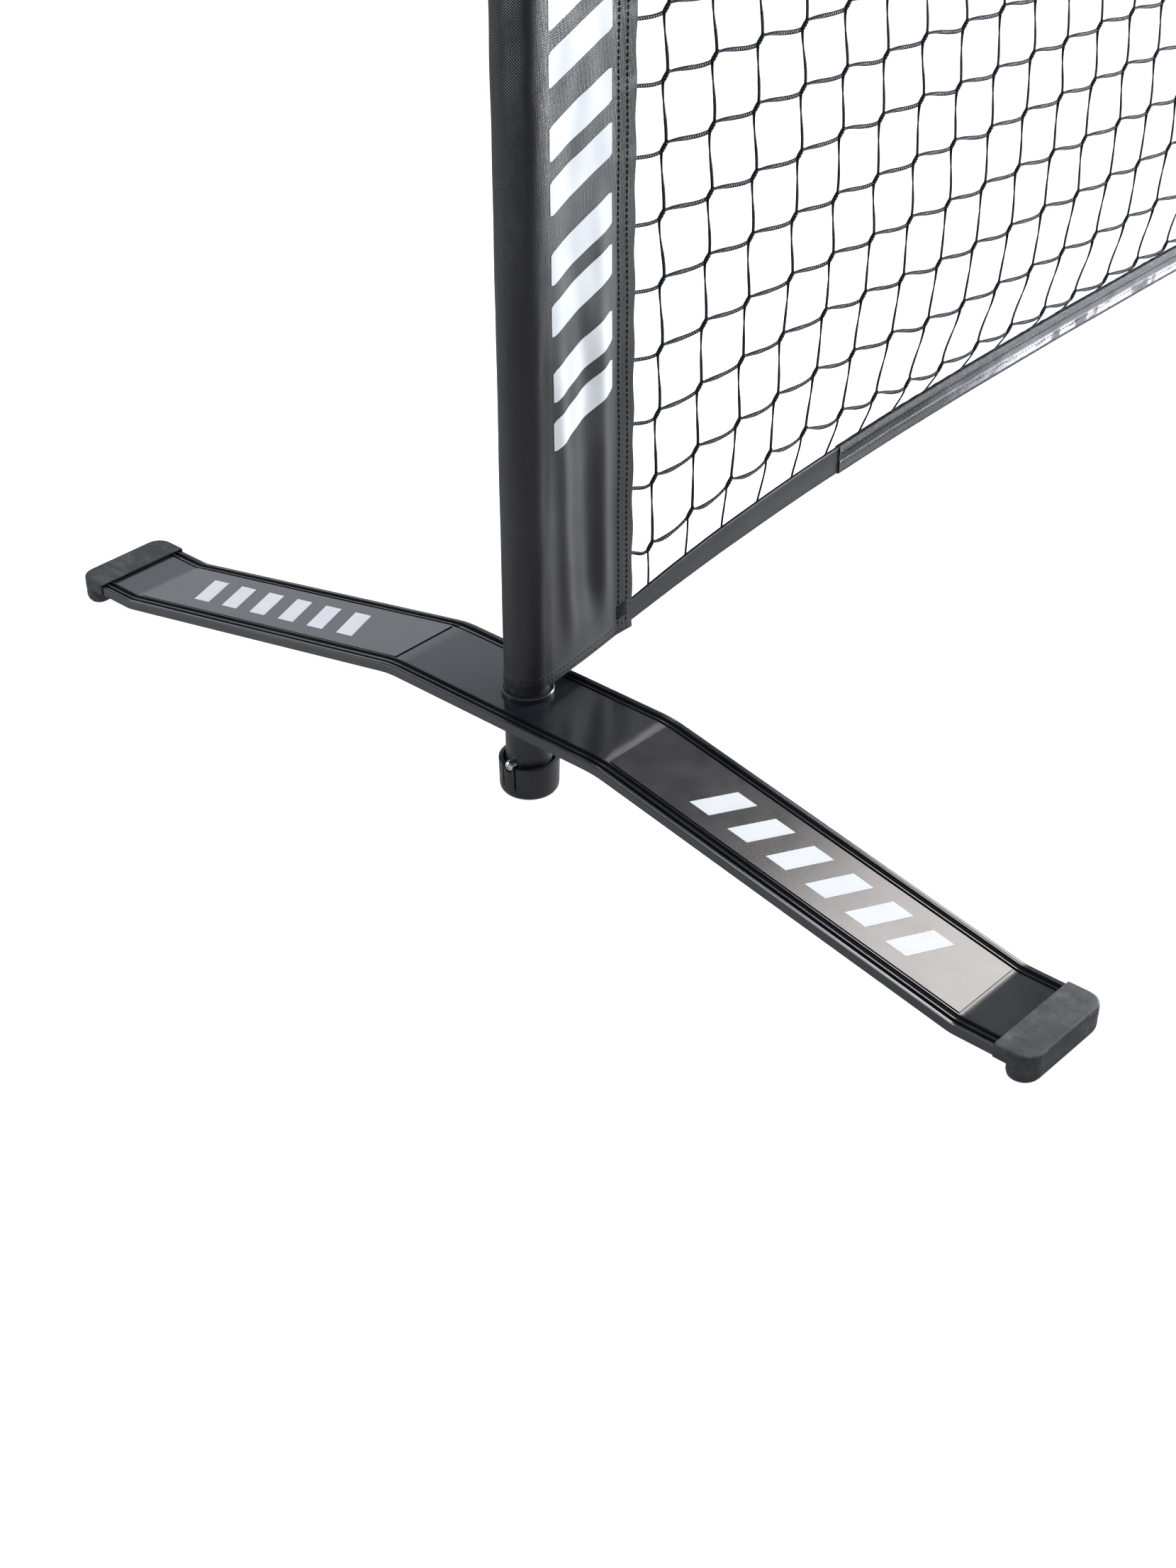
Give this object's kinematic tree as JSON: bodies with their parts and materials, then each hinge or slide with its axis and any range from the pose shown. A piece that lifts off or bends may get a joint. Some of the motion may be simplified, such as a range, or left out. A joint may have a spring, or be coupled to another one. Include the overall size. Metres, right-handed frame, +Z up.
{
  "type": "portable court net",
  "caption": "Low portable court net: square-mesh net in a jointed frame, posts in fabric sleeves on arched swivelling base legs.",
  "frame": {"origin": "on the floor, midway between the two posts", "axes": "+X along the net, +Y along the base legs, +Z up"},
  "size_m": [3.1336, 0.896, 0.9149],
  "materials": {
    "black_steel": "gloss black enamel over pressed steel",
    "tube_steel": "satin black powder coat",
    "rubber": "matt moulded rubber",
    "label_film": "glossy film",
    "cup_plastic": "satin moulded nylon",
    "button_steel": "bright plated spring steel",
    "sleeve_cloth": "coated woven polyester, slightly shiny",
    "net_cord": "twisted dark navy cord, matt",
    "tape_cloth": "white woven polyester tape"
  },
  "bodies": {
    "net_frame": {"left_post": "tube_steel", "left_elbow": "cup_plastic", "left_sleeve": "sleeve_cloth", "right_post": "tube_steel", "right_elbow": "cup_plastic", "right_sleeve": "sleeve_cloth", "rail_left": "tube_steel", "rail_middle": "tube_steel", "rail_right": "tube_steel", "rail_ferrule_left": "tube_steel", "rail_ferrule_right": "tube_steel", "top_tape": "tape_cloth", "net_mesh": "net_cord", "bottom_hem": "sleeve_cloth", "hem_strap": "sleeve_cloth"},
    "left_base": {"left_leg": "black_steel", "left_leg_ring": "cup_plastic", "left_stop_collar": "tube_steel", "left_lower_tube": "tube_steel", "left_foot_cup": "cup_plastic", "left_front_cap": "rubber", "left_rear_cap": "rubber", "left_front_label": "label_film", "left_rear_label": "label_film"},
    "left_snap": {"left_snap_button": "button_steel", "left_snap_spring": "button_steel"},
    "left_rail_snap": {"rail_button_left": "button_steel"},
    "right_base": {"right_leg": "black_steel", "right_leg_ring": "cup_plastic", "right_stop_collar": "tube_steel", "right_lower_tube": "tube_steel", "right_foot_cup": "cup_plastic", "right_front_cap": "rubber", "right_rear_cap": "rubber", "right_front_label": "label_film", "right_rear_label": "label_film"},
    "right_snap": {"right_snap_button": "button_steel", "right_snap_spring": "button_steel"},
    "right_rail_snap": {"rail_button_right": "button_steel"}
  },
  "joints": [
    {"name": "left_base_swivel", "type": "hinge", "parent": "net_frame", "child": "left_base", "pos_m": [-1.525, 0, 0], "axis": [0, 0, 1], "range_deg": [-90, 90]},
    {"name": "left_snap_press", "type": "slide", "parent": "left_base", "child": "left_snap", "axis": [1, 0, 0], "range_m": [0, 0.004], "stiffness_N_per_m": 600, "springref_m": -0.003},
    {"name": "left_rail_snap_press", "type": "slide", "parent": "net_frame", "child": "left_rail_snap", "axis": [0, 1, 0], "range_m": [0, 0.003], "stiffness_N_per_m": 600, "springref_m": -0.003},
    {"name": "right_base_swivel", "type": "hinge", "parent": "net_frame", "child": "right_base", "pos_m": [1.525, 0, 0], "axis": [0, 0, 1], "range_deg": [-90, 90]},
    {"name": "right_snap_press", "type": "slide", "parent": "right_base", "child": "right_snap", "axis": [-1, 0, 0], "range_m": [0, 0.004], "stiffness_N_per_m": 600, "springref_m": -0.003},
    {"name": "right_rail_snap_press", "type": "slide", "parent": "net_frame", "child": "right_rail_snap", "axis": [0, 1, 0], "range_m": [0, 0.003], "stiffness_N_per_m": 600, "springref_m": -0.003}
  ]
}
